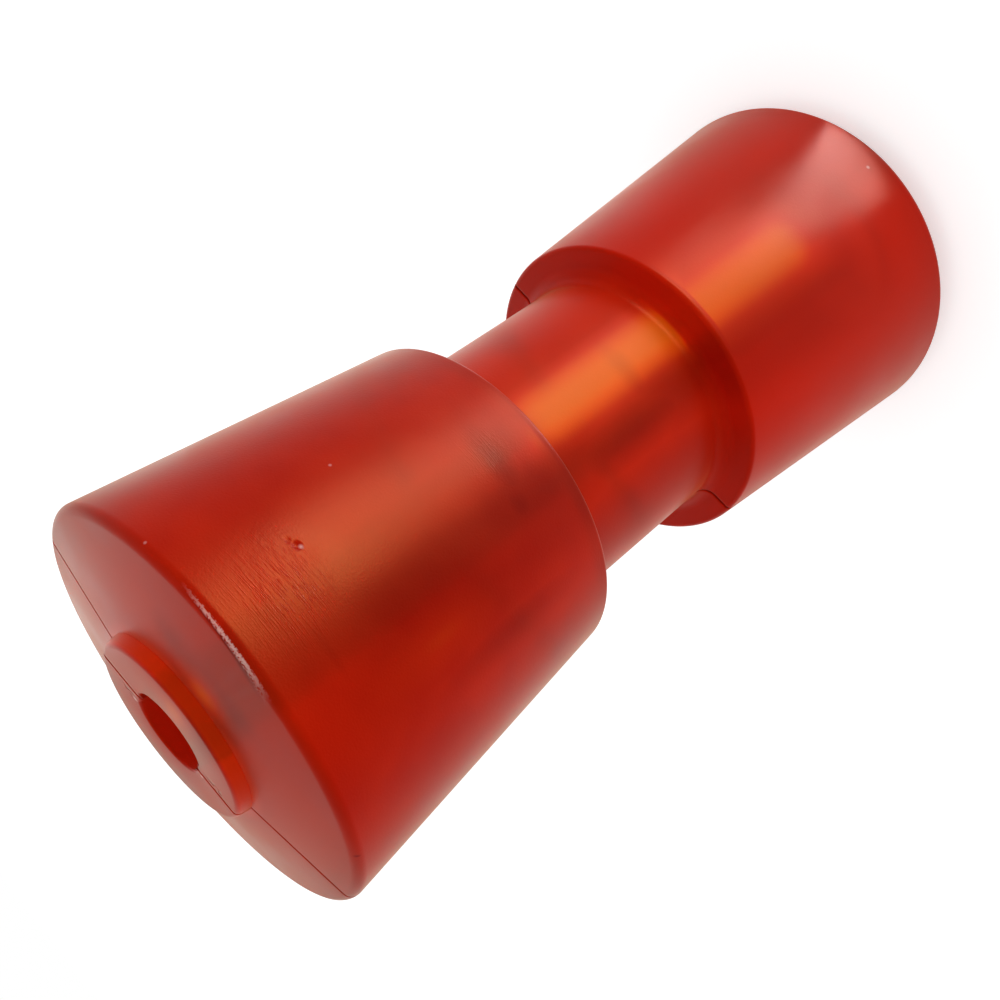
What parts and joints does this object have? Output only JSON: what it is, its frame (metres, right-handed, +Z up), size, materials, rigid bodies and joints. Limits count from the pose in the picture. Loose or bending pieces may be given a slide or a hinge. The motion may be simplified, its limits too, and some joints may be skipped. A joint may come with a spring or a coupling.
{
  "type": "keel roller",
  "caption": "Solid trailer keel roller: two tapered ends guide a keel down to a round waist between square shoulders, with a hub on each end face and a through bore for the spindle.",
  "frame": {"origin": "centre of the lower hub face, the end that the roller stands on", "axes": "+Z up the spindle bore from the lower to the upper hub face; the roller is round, so X and Y are free; the joint between the two halves of the mould is taken as the XZ plane"},
  "size_m": [0.0844, 0.0844, 0.2],
  "materials": {
    "urethane": "satin, translucent deep red cast polyurethane"
  },
  "bodies": {
    "root": {"keel_roller": "urethane"}
  },
  "joints": []
}
